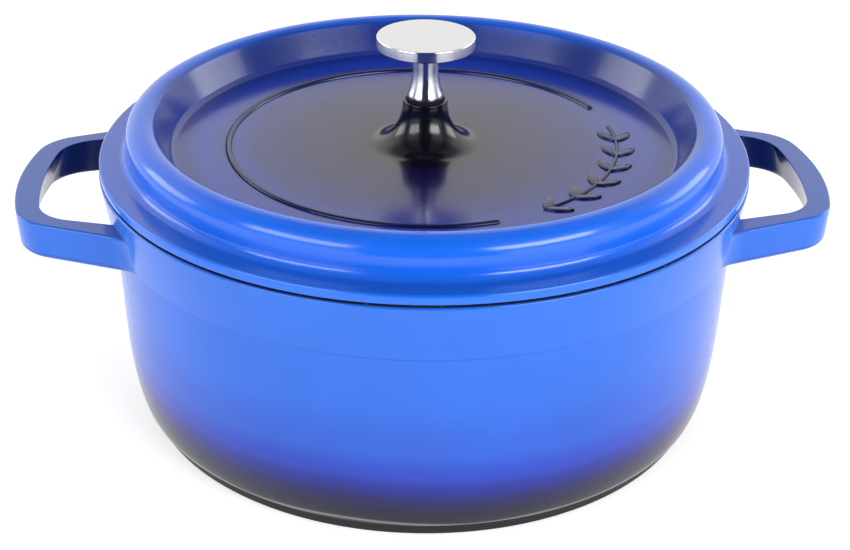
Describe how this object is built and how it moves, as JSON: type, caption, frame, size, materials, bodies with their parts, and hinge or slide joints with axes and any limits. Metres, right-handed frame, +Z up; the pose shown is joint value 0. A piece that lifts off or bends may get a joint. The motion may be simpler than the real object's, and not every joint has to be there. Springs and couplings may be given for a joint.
{
  "type": "covered casserole dish",
  "caption": "Round cast casserole with two loop handles, a lift-off lid with a raised rounded crest, and a disc-topped steel knob.",
  "frame": {"origin": "middle of the foot ring, on the table", "axes": "+Z up, out of the pot; handles along X; +Y away from the viewer"},
  "size_m": [0.331, 0.2626, 0.156],
  "materials": {
    "pot_enamel": "gloss blue enamel on cast aluminium, shading to black at the foot",
    "lid_enamel": "gloss blue enamel on cast aluminium, shading to charcoal in the middle",
    "polished_steel": "polished, brushed on top",
    "disc_steel": "brushed",
    "gasket_rubber": "matt black",
    "fixing_steel": "zinc plated"
  },
  "bodies": {
    "pot": {"pot_body": "pot_enamel", "induction_disc": "disc_steel"},
    "lid": {"lid": "lid_enamel", "knob": "polished_steel", "knob_gasket": "gasket_rubber", "knob_screw": "fixing_steel", "flat_washer": "fixing_steel", "spring_washer": "fixing_steel"}
  },
  "joints": [
    {"name": "lid_lift", "type": "slide", "parent": "pot", "child": "lid", "axis": [0, 0, 1], "range_m": [0, 0.12]}
  ]
}
